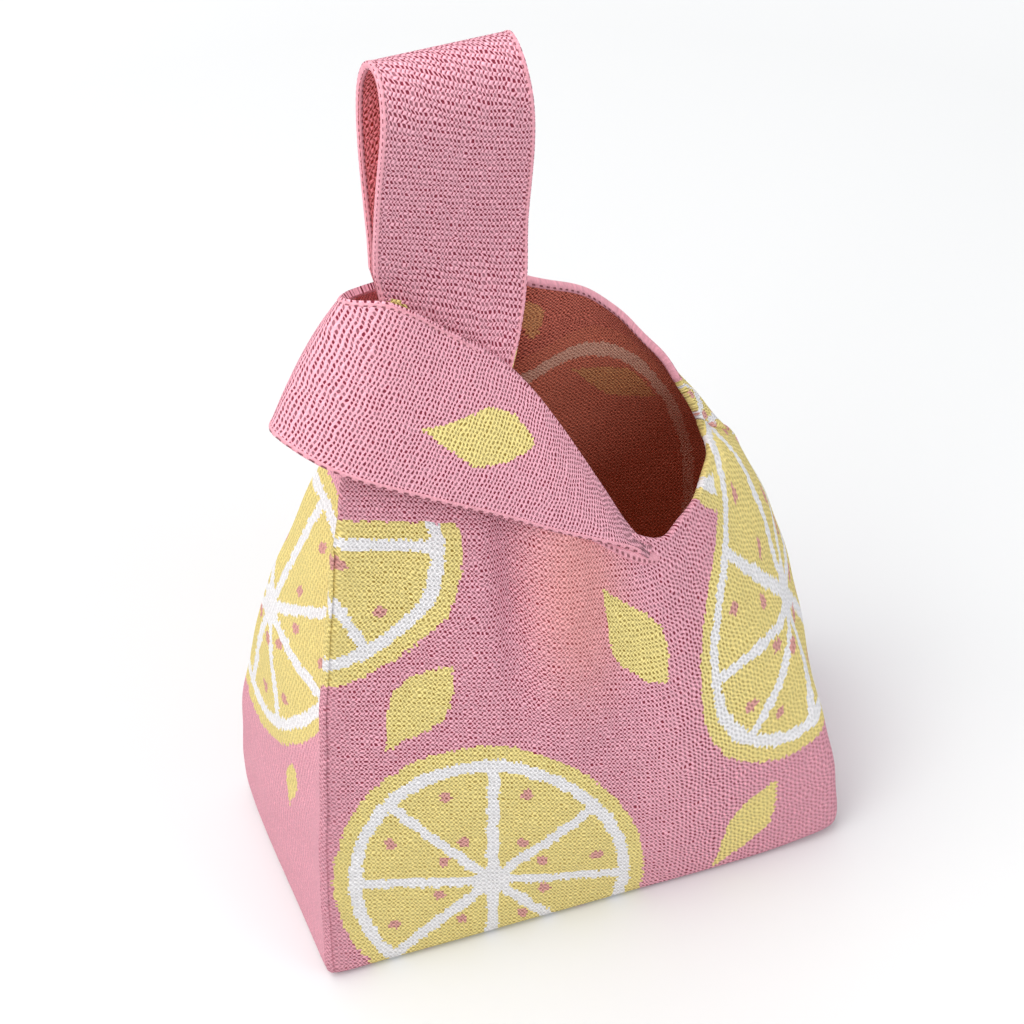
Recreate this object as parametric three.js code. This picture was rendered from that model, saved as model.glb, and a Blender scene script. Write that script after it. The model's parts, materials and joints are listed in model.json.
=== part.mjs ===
// A knitted knot bag: a boxed pouch with two loops for handles. The long loop stands up through the
// short one, which is pulled across to the left, so that the pouch closes and hangs from the wrist.
// Millimetres, +Z up, front facing -Y, origin on the floor under the middle of the pouch.
import * as THREE from 'three';

// Cloth
const CLOTH = 3.0; // thickness of the knitted panels
const STRAP = 3.2; // thickness of the handle straps
const HEM = 4.6; // diameter of a rolled edge
const THREAD = 2.2; // diameter of a linked seam
const CLEAR = 0.4; // gap between neighbouring pieces

// Pouch
const BASE_LENGTH = 200; // outside, along X
const BASE_DEPTH = 100; // outside, along Y
const BASE_CORNER = 8; // corner radius of the base panel
const BOTTOM_LIFT = 0.3; // the walls end this far above the floor
const SHOULDER_HEIGHT = 222; // top of the pouch on the left, where the long handle is sewn on
const GUSSET_DROP = 22; // from the shoulder down to the top of the left gusset
const GUSSET_TUCK = 14; // how far the top of the left gusset folds in
const GUSSET_SAG = 18; // how far the folded part hangs down
const FRONT_SWELL = 4;
const BACK_SWELL = 5;
const LEFT_SWELL = 5;
const RIGHT_SWELL = 13;

// Long handle
const STRAP_WIDTH = 50; // over the hems
const HANDLE_X = -31; // middle of the long handle
const PINCH_RISE = 54; // from the shoulder up to where its two sides come together and it bends
const LOOP_HEIGHT = 75; // from there up to its top
const LOOP_DEPTH = 26; // front to back at its widest, outside
const FOOT_RADIUS = 5; // rounded foot of the loop, on the bending line
const ROOT_SPREAD = 20; // degrees from straight below the bending line to each root's inner edge
const ROOT_HOLLOW = 1.8; // how hollow the strap is drawn between its seam and the bending line

// Short handle
const BAND_CROWN = 2; // how far the middle of the band stands out
const BAND_SPLIT = 0.32; // share of the way round where the standing part meets the drooping part
const BAND_SPLIT_GAP = 0.012; // as a share of the way round
const FOLD_RADIUS = 3; // roll of cloth where the short handle turns over the front edge
const FOLD_LEAN = 0.9; // how far the roll leans out to the front

// Points round the top of the pouch: X from the handle's middle, Y, Z from the shoulder.
const SHOULDER_FRONT = [-50, -31, 0];
const SHOULDER_BACK = [-21, 16, 0];
const MOUTH_LOW = [58, -36.5, -75];
const MOUTH_FRONT = [97, -3, -77];
const MOUTH_BACK = [98.5, 26, -74];
const PEAK = [34, 21.5, 8]; // upper end of the short handle's back seam
const NECK = [17, 31, -32]; // lower end of it

// How far each upright edge of the pouch bows out half way up: X, Y.
const FRONT_LEFT_BOW = [-8, -3];
const FRONT_RIGHT_BOW = [11, -9.5];
const BACK_RIGHT_BOW = [8, 5];
const BACK_LEFT_BOW = [-12, 5];

// The short handle's two edges: share of the way round from the back seam, then X from the long handle's
// middle in strap widths, Y, Z from the shoulder. The ends follow from the pouch.
const BAND_UPPER = [
  [0.14, 0.28, 18, 22],
  [0.29, -0.24, 13, 32],
  [0.4, -0.62, 6, 39],
  [0.45, -0.7, -1, 45],
  [0.49, -0.66, -7, 48],
  [0.55, -0.474, -11, 43],
  [0.65, -0.156, -13, 30],
  [0.78, 0.224, -17, 12],
  [0.88, 0.484, -24, -6],
  [1, 0.81, -33, -38],
];
const BAND_LOWER = [
  [0.14, -0.06, 34, -20],
  [0.29, -0.66, 30, -9],
  [0.4, -1.18, 8, 3],
  [0.45, -1.3, -10, 7],
  [0.49, -1.3, -22, 10],
  [0.55, -1.02, -38, 3],
  [0.65, -0.46, -42, -14.5],
  [0.78, 0.034, -42, -30],
  [0.88, 0.384, -42, -42],
];

// Shares of a length
const NEAR = 0.01; // over which the way into a piece of cloth is taken
const SEAM_ENDS = 0.02; // left bare at each end of a seam

const PINK = 0xd98c9c;
const PALE_PINK = 0xe3a3b0;

const group = new THREE.Group();
const point = (x, y, z) => new THREE.Vector3(x, y, z);
const mix = (a, b, share) => a.clone().lerp(b, share);
const towards = (from, to) => to.clone().sub(from).normalize();
const span = (from, to, share) => from + (to - from) * share;

// A smooth curve through points, each given with its share of the way along.
function through(...knots) {
  const slope = (i) => {
    const before = knots[Math.max(i - 1, 0)];
    const after = knots[Math.min(i + 1, knots.length - 1)];
    return after[1].clone().sub(before[1]).divideScalar(after[0] - before[0]);
  };
  const slopes = knots.map((knot, i) => slope(i));
  return (share) => {
    let i = 0;
    while (i < knots.length - 2 && share > knots[i + 1][0]) i += 1;
    const [from, to] = [knots[i], knots[i + 1]];
    const span = to[0] - from[0];
    const t = (share - from[0]) / span;
    return from[1].clone().multiplyScalar((1 + 2 * t) * (1 - t) ** 2)
      .addScaledVector(slopes[i], span * t * (1 - t) ** 2)
      .addScaledVector(to[1], t * t * (3 - 2 * t))
      .addScaledVector(slopes[i + 1], span * t * t * (t - 1));
  };
}

// A surface filling four edges, with a swell that dies away at them.
function fill({ bottom, top, left, right, swell }) {
  return (u, w) => mix(bottom(u), top(u), w)
    .add(mix(left(w), right(w), u))
    .sub(mix(mix(bottom(0), bottom(1), u), mix(top(0), top(1), u), w))
    .add(swell(u, w));
}

function normalOf(surface, u, w) {
  const step = 1e-3;
  const [u0, u1] = [Math.max(u - step, 0), Math.min(u + step, 1)];
  const [w0, w1] = [Math.max(w - step, 0), Math.min(w + step, 1)];
  const along = surface(u1, w).sub(surface(u0, w));
  const up = surface(u, w1).sub(surface(u, w0));
  return along.cross(up).normalize();
}

function closedMesh(positions, triangles) {
  const geometry = new THREE.BufferGeometry();
  const numbers = positions.flatMap((p) => p.toArray());
  geometry.setAttribute('position', new THREE.Float32BufferAttribute(numbers, 3));
  geometry.setIndex(triangles);
  geometry.computeVertexNormals();
  return geometry;
}

// A piece of cloth of even thickness about a surface. trim(w) gives the ends of its width at each
// height.
function cloth(surface, columns, rows, thickness, trim = () => [0, 1]) {
  const positions = [];
  for (const side of [0.5, -0.5]) {
    for (let j = 0; j <= rows; j += 1) {
      const [first, last] = trim(j / rows);
      for (let i = 0; i <= columns; i += 1) {
        const u = first + (last - first) * i / columns;
        const at = surface(u, j / rows);
        positions.push(at.addScaledVector(normalOf(surface, u, j / rows), side * thickness));
      }
    }
  }
  const outer = (i, j) => j * (columns + 1) + i;
  const inner = (i, j) => (rows + 1 + j) * (columns + 1) + i;
  const triangles = [];
  for (let j = 0; j < rows; j += 1) {
    for (let i = 0; i < columns; i += 1) {
      triangles.push(outer(i, j), outer(i + 1, j), outer(i + 1, j + 1));
      triangles.push(outer(i, j), outer(i + 1, j + 1), outer(i, j + 1));
      triangles.push(inner(i, j), inner(i + 1, j + 1), inner(i + 1, j));
      triangles.push(inner(i, j), inner(i, j + 1), inner(i + 1, j + 1));
    }
  }
  const border = [];
  for (let i = 0; i < columns; i += 1) border.push([i, 0]);
  for (let j = 0; j < rows; j += 1) border.push([columns, j]);
  for (let i = columns; i > 0; i -= 1) border.push([i, rows]);
  for (let j = rows; j > 0; j -= 1) border.push([0, j]);
  border.forEach((here, k) => {
    const next = border[(k + 1) % border.length];
    triangles.push(inner(...here), inner(...next), outer(...next));
    triangles.push(inner(...here), outer(...next), outer(...here));
  });
  return closedMesh(positions, triangles);
}

// A round cord of cloth or thread along a curve, with flat ends unless the curve closes on itself.
function cord(curve, steps, diameter, closed = false, sides = 6) {
  const rings = closed ? steps : steps + 1;
  const stations = Array.from({ length: rings }, (_, k) => curve(k / steps));
  const positions = [];
  let across = null;
  stations.forEach((at, k) => {
    const before = closed ? stations[(k + rings - 1) % rings] : stations[Math.max(k - 1, 0)];
    const after = closed ? stations[(k + 1) % rings] : stations[Math.min(k + 1, rings - 1)];
    const ahead = towards(before, after);
    across = across ?? (Math.abs(ahead.x) < 0.9 ? point(1, 0, 0) : point(0, 0, 1));
    across = across.clone().addScaledVector(ahead, -across.dot(ahead)).normalize();
    const third = ahead.clone().cross(across);
    for (let m = 0; m < sides; m += 1) {
      const angle = 2 * Math.PI * m / sides;
      positions.push(at.clone().addScaledVector(across, Math.cos(angle) * diameter / 2)
        .addScaledVector(third, Math.sin(angle) * diameter / 2));
    }
  });
  const triangles = [];
  const corner = (k, m) => (k % rings) * sides + m % sides;
  for (let k = 0; k < steps; k += 1) {
    for (let m = 0; m < sides; m += 1) {
      triangles.push(corner(k, m), corner(k, m + 1), corner(k + 1, m + 1));
      triangles.push(corner(k, m), corner(k + 1, m + 1), corner(k + 1, m));
    }
  }
  if (!closed) {
    for (let m = 1; m < sides - 1; m += 1) {
      triangles.push(corner(0, 0), corner(0, m + 1), corner(0, m));
      triangles.push(corner(steps, 0), corner(steps, m), corner(steps, m + 1));
    }
  }
  return closedMesh(positions, triangles);
}

function add(name, geometry, color) {
  const material = new THREE.MeshStandardMaterial({ color, roughness: 0.95, metalness: 0 });
  const mesh = new THREE.Mesh(geometry, material);
  mesh.name = name;
  group.add(mesh);
}

// Base panel: a flat knitted rectangle inside the feet of the four walls.
const insideLength = BASE_LENGTH / 2 - CLOTH - CLEAR;
const insideDepth = BASE_DEPTH / 2 - CLOTH - CLEAR;
const outline = new THREE.Shape();
outline.moveTo(insideLength - BASE_CORNER, -insideDepth);
outline.absarc(insideLength - BASE_CORNER, BASE_CORNER - insideDepth, BASE_CORNER, -Math.PI / 2, 0);
outline.absarc(insideLength - BASE_CORNER, insideDepth - BASE_CORNER, BASE_CORNER, 0, Math.PI / 2);
outline.absarc(BASE_CORNER - insideLength, insideDepth - BASE_CORNER, BASE_CORNER, Math.PI / 2, Math.PI);
outline.absarc(BASE_CORNER - insideLength, BASE_CORNER - insideDepth, BASE_CORNER, Math.PI, 3 * Math.PI / 2);
const baseCloth = { depth: CLOTH, bevelEnabled: false, curveSegments: 4 };
add('base_panel', new THREE.ExtrudeGeometry(outline, baseCloth), PINK);

// The four upright edges of the pouch, each leaning in to its top and bowed out between.
const [footX, footY] = [BASE_LENGTH / 2 - CLOTH / 2, BASE_DEPTH / 2 - CLOTH / 2];
const fromHandle = ([x, y, z]) => point(HANDLE_X + x, y, SHOULDER_HEIGHT + z);
const upright = (foot, top, bow) => (share) => {
  const bowed = 4 * share * (1 - share);
  return mix(foot, top, share).add(point(bow[0] * bowed, bow[1] * bowed, 0));
};
const shoulderFront = fromHandle(SHOULDER_FRONT);
const shoulderBack = fromHandle(SHOULDER_BACK);
const mouthLow = fromHandle(MOUTH_LOW);
const mouthFront = fromHandle(MOUTH_FRONT);
const mouthBack = fromHandle(MOUTH_BACK);
const peak = fromHandle(PEAK);
const neck = fromHandle(NECK);
const frontLeftEdge = upright(point(-footX, -footY, BOTTOM_LIFT), shoulderFront, FRONT_LEFT_BOW);
const frontRightEdge = upright(point(footX, -footY, BOTTOM_LIFT), mouthFront, FRONT_RIGHT_BOW);
const backRightEdge = upright(point(footX, footY, BOTTOM_LIFT), mouthBack, BACK_RIGHT_BOW);
const backLeftEdge = upright(point(-footX, footY, BOTTOM_LIFT), shoulderBack, BACK_LEFT_BOW);

// Front panel. Its top edge slopes down from the shoulder to the lowest point of the mouth, then round
// to the right.
const frontTop = through(
  [0, shoulderFront],
  [0.16, mix(shoulderFront, mouthLow, 0.24).add(point(0, 0, 3))],
  [0.33, mix(shoulderFront, mouthLow, 0.5).add(point(0, -0.5, 4))],
  [0.5, mix(shoulderFront, mouthLow, 0.75).add(point(0, -1, 2))],
  [0.65, mouthLow],
  [0.77, mix(mouthLow, mouthFront, 0.38).add(point(0, -2.5, -3))],
  [0.89, mix(mouthLow, mouthFront, 0.72).add(point(0, -3.5, -2))],
  [1, mouthFront],
);
const frontSurface = fill({
  bottom: (u) => mix(frontLeftEdge(0), frontRightEdge(0), u),
  top: frontTop,
  left: frontLeftEdge,
  right: frontRightEdge,
  swell: (u, w) => point(0, -FRONT_SWELL * Math.sin(Math.PI * u) * Math.sin(Math.PI * w), 0),
});
add('front_panel', cloth(frontSurface, 26, 14, CLOTH), PINK);

// Back panel. It rises to the seam where the short handle starts, and dips between the two handles.
const backTop = through(
  [0, mouthBack],
  [0.11, mix(mouthBack, peak, 0.25).add(point(5, 6, 0))],
  [0.22, mix(mouthBack, peak, 0.5).add(point(7.5, 6.5, 0))],
  [0.34, mix(mouthBack, peak, 0.75).add(point(7, 5, 0))],
  [0.45, peak],
  [0.64, neck],
  [0.82, mix(neck, shoulderBack, 0.5)],
  [1, shoulderBack],
);
const backSurface = fill({
  bottom: (u) => mix(backRightEdge(0), backLeftEdge(0), u),
  top: backTop,
  left: backRightEdge,
  right: backLeftEdge,
  swell: (u, w) => point(0, BACK_SWELL * Math.sin(Math.PI * u) * Math.sin(Math.PI * w), 0),
});
add('back_panel', cloth(backSurface, 28, 14, CLOTH), PINK);

// Side gussets. The left one is lower than the shoulders and its top folds in. The right one reaches
// the mouth.
const gussetShare = 1 - GUSSET_DROP / SHOULDER_HEIGHT;
const [gussetBack, gussetFront] = [backLeftEdge(gussetShare), frontLeftEdge(gussetShare)];
const leftTop = through(
  [0, gussetBack],
  [0.45, mix(gussetBack, gussetFront, 0.42).add(point(GUSSET_TUCK / 2, 0, -GUSSET_SAG * 2 / 3))],
  [0.78, mix(gussetBack, gussetFront, 0.76).add(point(GUSSET_TUCK, 0, -GUSSET_SAG))],
  [1, gussetFront],
);
const leftSurface = fill({
  bottom: (u) => mix(backLeftEdge(0), frontLeftEdge(0), u),
  top: leftTop,
  left: (w) => backLeftEdge(w * gussetShare),
  right: (w) => frontLeftEdge(w * gussetShare),
  swell: (u, w) => point(-LEFT_SWELL * Math.sin(Math.PI * u) * Math.sin(Math.PI * w), 0, 0),
});
const rightTop = through(
  [0, mouthFront],
  [0.5, mix(mouthFront, mouthBack, 0.5).add(point(4, 0, -1))],
  [1, mouthBack],
);
const rightSurface = fill({
  bottom: (u) => mix(frontRightEdge(0), backRightEdge(0), u),
  top: rightTop,
  left: frontRightEdge,
  right: backRightEdge,
  swell: (u, w) => point(RIGHT_SWELL * Math.sin(Math.PI * u) * Math.sin(Math.PI * w ** 1.5), 0, 0),
});

// The way into a piece of cloth from one of its side edges, square to that edge.
const wayInto = (surface, atEnd) => (w) => {
  const [side, beside] = atEnd ? [1, 1 - NEAR] : [0, NEAR];
  const edge = towards(surface(side, Math.max(w - NEAR, 0)), surface(side, Math.min(w + NEAR, 1)));
  const across = towards(surface(side, w), surface(beside, w));
  return across.addScaledVector(edge, -across.dot(edge)).normalize();
};

// Linked seams run this far outside the edge of the cloth.
const seamOut = CLEAR + THREAD / 2;

// A gusset stops short of the panels that it meets, by more where they meet at a sharper angle and
// where a seam runs between them.
function gussetTrim(surface, start, end) {
  const inset = (inward, panelWay, seamed) => {
    const cosine = inward.dot(panelWay);
    const clearOfPanel = CLOTH / 2 * Math.sqrt((1 + cosine) / (1 - cosine)) + 1.5 * CLEAR;
    const clearOfSeam = THREAD / 2 + CLEAR - cosine * seamOut;
    return seamed ? Math.max(clearOfPanel, clearOfSeam) : clearOfPanel;
  };
  return (w) => {
    const width = surface(0, w).distanceTo(surface(1, w));
    const first = inset(wayInto(surface, false)(w), start.way(w), start.seamed) / width;
    const last = inset(wayInto(surface, true)(w), end.way(w), end.seamed) / width;
    return [first, 1 - last];
  };
}
const leftTrim = gussetTrim(
  leftSurface,
  { way: (w) => wayInto(backSurface, true)(w * gussetShare), seamed: false },
  { way: (w) => wayInto(frontSurface, false)(w * gussetShare), seamed: true },
);
const rightTrim = gussetTrim(
  rightSurface,
  { way: wayInto(frontSurface, true), seamed: false },
  { way: wayInto(backSurface, false), seamed: true },
);
add('left_gusset', cloth(leftSurface, 12, 14, CLOTH, leftTrim), PINK);
add('right_gusset', cloth(rightSurface, 12, 14, CLOTH, rightTrim), PINK);

// Linked seams down two of the upright edges, along the ends of the front and back panels. At the other
// two the cloth only folds.
const cornerSeam = (surface) => (share) => {
  const w = span(SEAM_ENDS, 1 - SEAM_ENDS, share);
  return surface(0, w).addScaledVector(wayInto(surface, false)(w), -seamOut);
};
add('front_left_seam', cord(cornerSeam(frontSurface), 16, THREAD), PALE_PINK);
add('back_right_seam', cord(cornerSeam(backSurface), 16, THREAD), PALE_PINK);

// The point a given distance off the top edge of a piece of cloth, square to that edge.
function above(surface, u, distance) {
  const edge = towards(surface(Math.max(u - NEAR, 0), 1), surface(Math.min(u + NEAR, 1), 1));
  return surface(u, 1).addScaledVector(normalOf(surface, u, 1).cross(edge), distance);
}

// Rolled hem round the mouth: from its lowest point, round the right gusset and up the back to the
// short handle.
const hemOut = CLEAR + HEM / 2;
const mouthHem = (share) => {
  if (share < 0.4) return above(frontSurface, span(0.68, 1, share / 0.4), hemOut);
  if (share < 0.6) return above(rightSurface, span(0, 1, (share - 0.4) / 0.2), hemOut);
  return above(backSurface, span(0, 0.42, (share - 0.6) / 0.4), hemOut);
};
add('mouth_hem', cord(mouthHem, 30, HEM), PALE_PINK);
const leftHem = (share) => above(leftSurface, span(0.14, 0.84, share), hemOut);
add('left_gusset_hem', cord(leftHem, 12, HEM), PALE_PINK);

// Long handle, lower part: a strap from the front and one from the back, sewn on and drawn together by
// the short handle.
const [handleLeft, handleRight] = [HANDLE_X - STRAP_WIDTH / 2, HANDLE_X + STRAP_WIDTH / 2];
const pinchHeight = SHOULDER_HEIGHT + PINCH_RISE;
const footReach = FOOT_RADIUS + CLEAR;
const rootAngle = THREE.MathUtils.degToRad(ROOT_SPREAD);
const rootTopY = footReach * Math.sin(rootAngle) + STRAP / 2;
const rootTopZ = pinchHeight - footReach * Math.cos(rootAngle);
function strapRoot(name, seam, top) {
  const start = (u) => seam(u).addScaledVector(towards(seam(u), top(u)), THREAD / 2 + 2 * CLEAR);
  const surface = (u, w) => {
    const at = mix(start(u), top(u), w);
    at.y = top(u).y + (start(u).y - top(u).y) * (1 - w) ** ROOT_HOLLOW;
    return at;
  };
  add(`${name}_root`, cloth(surface, 8, 8, STRAP), PINK);
  const thread = (share) => seam(span(SEAM_ENDS, 1 - SEAM_ENDS, share));
  add(`${name}_seam`, cord(thread, 8, THREAD), PALE_PINK);
}
strapRoot(
  'long_handle_front',
  (u) => above(frontSurface, span(0.01, 0.32, u), seamOut),
  (u) => point(span(handleLeft, handleRight, u), -rootTopY, rootTopZ),
);
strapRoot(
  'long_handle_back',
  (u) => above(backSurface, span(0.73, 0.99, u), seamOut),
  (u) => point(span(handleRight, handleLeft, u), rootTopY, rootTopZ),
);

// Long handle, upper part: a loop with a rounded foot on the bending line, and its two rolled edges.
function loopOutline(shape, shrink) {
  const [head, foot] = [LOOP_DEPTH / 2 - shrink, FOOT_RADIUS - shrink];
  const headHeight = pinchHeight + LOOP_HEIGHT - LOOP_DEPTH / 2;
  const lean = Math.asin((LOOP_DEPTH / 2 - FOOT_RADIUS) / (headHeight - pinchHeight));
  shape.absarc(0, headHeight, head, -lean, Math.PI + lean);
  shape.absarc(0, pinchHeight, foot, Math.PI + lean, 2 * Math.PI - lean);
  shape.closePath();
  return shape;
}
const loopShape = loopOutline(new THREE.Shape(), 0);
loopShape.holes.push(loopOutline(new THREE.Path(), STRAP));
const loopWidth = STRAP_WIDTH - 2 * (HEM + CLEAR);
const loopCloth = { depth: loopWidth, bevelEnabled: false, curveSegments: 12 };
const loop = new THREE.ExtrudeGeometry(loopShape, loopCloth);
loop.applyMatrix4(new THREE.Matrix4().makeBasis(point(0, 1, 0), point(0, 0, 1), point(1, 0, 0)));
loop.translate(HANDLE_X - loopWidth / 2, 0, 0);
add('long_handle_loop', loop, PINK);
const loopEdge = loopOutline(new THREE.Path(), HEM / 2);
const loopHem = (x) => (share) => {
  const at = loopEdge.getPointAt(share % 1);
  return point(x, at.x, at.y);
};
add('long_handle_left_hem', cord(loopHem(handleLeft + HEM / 2), 32, HEM, true), PALE_PINK);
add('long_handle_right_hem', cord(loopHem(handleRight - HEM / 2), 32, HEM, true), PALE_PINK);

// Short handle: a band from its back seam, round the left of the long handle and across the front to the
// mouth. There the cloth rolls over the front edge of the pouch.
const frontFold = (share) => above(frontSurface, span(0.36, 0.64, share), CLEAR + FOLD_RADIUS)
  .add(point(0, -FOLD_LEAN, 0));
const bandPoint = ([share, x, y, z]) => [share, fromHandle([x * STRAP_WIDTH, y, z])];
const seamGap = THREAD + 4 * CLEAR;
const bandUpper = through([0, above(backSurface, 0.475, seamGap)], ...BAND_UPPER.map(bandPoint));
const bandLower = through(
  [0, above(backSurface, 0.625, seamGap)],
  ...BAND_LOWER.map(bandPoint),
  [1, frontFold(0.62).add(point(0, -FOLD_RADIUS - STRAP / 2 - CLEAR, STRAP / 2))],
);
const bandRuled = (p, w) => mix(bandLower(p), bandUpper(p), w);
const band = (p, w) => {
  const crown = BAND_CROWN * 4 * w * (1 - w);
  return bandRuled(p, w).addScaledVector(normalOf(bandRuled, p, w), crown);
};
const bandWidth = (p) => bandLower(p).distanceTo(bandUpper(p));
function bandPiece(from, to, edge) {
  return (u, w) => {
    const p = span(from, to, u);
    const margin = edge / bandWidth(p);
    return band(p, span(margin, 1 - margin, w));
  };
}
const bandEnd = 1 - BAND_SPLIT;
add('short_handle_loop', cloth(bandPiece(0, bandEnd, HEM + 1.5 * CLEAR), 40, 6, STRAP), PINK);
const bandHem = (upper) => (share) => {
  const p = span(0, bandEnd, share);
  const inset = HEM / 2 / bandWidth(p);
  return band(p, upper ? 1 - inset : inset);
};
add('short_handle_upper_hem', cord(bandHem(true), 40, HEM), PALE_PINK);
add('short_handle_lower_hem', cord(bandHem(false), 40, HEM), PALE_PINK);
const bandRoot = bandPiece(bandEnd + BAND_SPLIT_GAP, 1, 0);
add('short_handle_front_root', cloth(bandRoot, 12, 6, STRAP), PINK);
add('short_handle_front_fold', cord(frontFold, 16, 2 * FOLD_RADIUS, false, 8), PINK);
const backSeam = (share) => above(backSurface, span(0.48, 0.62, share), seamOut);
add('short_handle_back_seam', cord(backSeam, 12, THREAD), PALE_PINK);

export default group;
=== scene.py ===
# A knitted knot bag standing on its base. A boxed pouch carries two loops: the long one goes over the
# wrist, and the short one is drawn round it to the left, which closes the mouth. Metres, +Z up.
import json
import math

import bpy
import numpy as np
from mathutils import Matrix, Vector


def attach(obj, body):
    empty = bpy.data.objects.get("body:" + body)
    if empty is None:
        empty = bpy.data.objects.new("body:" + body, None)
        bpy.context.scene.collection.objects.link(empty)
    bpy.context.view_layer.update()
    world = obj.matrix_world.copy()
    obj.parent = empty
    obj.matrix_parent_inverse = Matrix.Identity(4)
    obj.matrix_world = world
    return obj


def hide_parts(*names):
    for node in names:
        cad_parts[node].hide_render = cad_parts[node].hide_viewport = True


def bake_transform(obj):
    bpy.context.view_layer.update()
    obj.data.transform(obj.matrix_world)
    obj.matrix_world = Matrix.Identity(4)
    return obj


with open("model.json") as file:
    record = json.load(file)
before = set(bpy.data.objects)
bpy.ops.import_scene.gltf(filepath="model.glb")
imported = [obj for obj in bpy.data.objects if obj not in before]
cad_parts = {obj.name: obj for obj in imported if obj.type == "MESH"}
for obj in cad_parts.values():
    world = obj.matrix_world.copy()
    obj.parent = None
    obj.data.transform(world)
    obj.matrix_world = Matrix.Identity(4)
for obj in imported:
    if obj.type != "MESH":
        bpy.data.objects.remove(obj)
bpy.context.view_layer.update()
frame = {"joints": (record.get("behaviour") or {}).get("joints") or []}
scene = bpy.context.scene
scene.view_settings.view_transform = "Standard"

# Camera
# It stands well back, in front of the bag and a little to its left, and looks down on it.
AIM = Vector((0, 0, 0.15))
AZIMUTH = math.radians(-20.592)
ELEVATION = math.radians(42.673)
DISTANCE = 1.26024
FIELD_OF_VIEW = math.radians(16)
FRAMING_SHIFT = (-0.02605, -0.00406)

away = Vector((
    math.sin(AZIMUTH) * math.cos(ELEVATION),
    -math.cos(AZIMUTH) * math.cos(ELEVATION),
    math.sin(ELEVATION),
))
camera = bpy.data.objects.new("camera", bpy.data.cameras.new("camera"))
scene.collection.objects.link(camera)
camera.location = AIM + away * DISTANCE
camera.rotation_euler = (-away).to_track_quat("-Z", "Y").to_euler()
camera.data.angle = FIELD_OF_VIEW
camera.data.shift_x, camera.data.shift_y = FRAMING_SHIFT
scene.camera = camera

# Floor, backdrop and lamps
# A plain white sweep under one wide soft lamp on the left and two weaker ones. The camera sees the floor
# a little lighter than it is lit, more so far from the bag, so it stays white and keeps the bag's shadow.
FLOOR_SIZE = 6.0
FLOOR_WHITE = (0.785, 0.8, 0.812, 1)
FLOOR_ROUGHNESS = 0.9
FLOOR_LIFT = 0.03
FAR_FLOOR = (0.5, 1.8)
FAR_LIFT = 0.6
AMBIENT = 0.54
WARM = (1.0, 0.965, 0.935)
COOL = (0.92, 0.96, 1.0)
NEUTRAL = (1, 1, 1)


def lamp(name, place, size, watts, colour):
    """A square soft lamp that faces the bag."""
    made = bpy.data.objects.new(name, bpy.data.lights.new(name, "AREA"))
    made.data.color = colour
    made.data.size = size
    made.data.energy = watts
    made.location = place
    made.rotation_euler = (AIM - Vector(place)).to_track_quat("-Z", "Y").to_euler()
    scene.collection.objects.link(made)


lamp("key_lamp", (-1.1, -0.3, 1.8), 1.6, 30, WARM)
lamp("fill_lamp", (1.0, -1.5, 1.1), 1.2, 8.5, COOL)
lamp("top_lamp", (-0.2, 0.6, 1.8), 1.4, 9, NEUTRAL)


class Value:
    """A number that differs over a surface: a node's output, ready for sums that add more nodes."""

    def __init__(self, tree, socket):
        self.tree = tree
        self.socket = socket

    def of(self, operation, *terms):
        """The result of one sum that starts from this value."""
        return worked(self.tree, operation, self, *terms)

    def __add__(self, other):
        return self.of("ADD", other)

    def __sub__(self, other):
        return self.of("SUBTRACT", other)

    def __rsub__(self, other):
        return worked(self.tree, "SUBTRACT", other, self)

    def __mul__(self, other):
        return self.of("MULTIPLY", other)

    def __truediv__(self, other):
        return self.of("DIVIDE", other)

    def __lt__(self, other):
        return self.of("LESS_THAN", other)

    def __gt__(self, other):
        return self.of("GREATER_THAN", other)


def feed(tree, socket, value):
    """Sets a socket to a number or colour, or links a node's output to it."""
    if isinstance(value, Value):
        value = value.socket
    if isinstance(value, bpy.types.NodeSocket):
        tree.links.new(value, socket)
    else:
        socket.default_value = value


def feed_all(tree, sockets, values):
    """Sets or links several sockets, by name or number."""
    for name, value in values.items():
        feed(tree, sockets[name], value)


def new_node(tree, kind, inputs=(), **settings):
    """A new node with its settings, and its inputs in order or by name or number."""
    node = tree.nodes.new("ShaderNode" + kind)
    for name, value in settings.items():
        setattr(node, name, value)
    feed_all(tree, node.inputs, inputs if isinstance(inputs, dict) else dict(enumerate(inputs)))
    return node


def worked(tree, operation, *terms):
    """One sum of numbers and values."""
    return Value(tree, new_node(tree, "Math", terms, operation=operation).outputs[0])


def ramp(value, start, end, low=0.0, high=1.0, shape="SMOOTHSTEP"):
    """A number that goes from low to high as a value goes from start to end."""
    ends = (value, start, end, low, high)
    return Value(value.tree, new_node(value.tree, "MapRange", ends, interpolation_type=shape).outputs[0])


def new_material(name):
    """A new material, its node tree and its shader's sockets."""
    material = bpy.data.materials.new(name)
    material.use_nodes = True
    return material, material.node_tree, material.node_tree.nodes["Principled BSDF"].inputs


world = bpy.data.worlds.new("studio")
scene.world = world
world.use_nodes = True
sky = world.node_tree
path = new_node(sky, "LightPath").outputs
seen = worked(sky, "MAXIMUM", path["Is Camera Ray"], path["Is Glossy Ray"])
strength = seen * (1 - AMBIENT) + AMBIENT
feed_all(sky, sky.nodes["Background"].inputs, {"Color": (1, 1, 1, 1), "Strength": strength})

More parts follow.
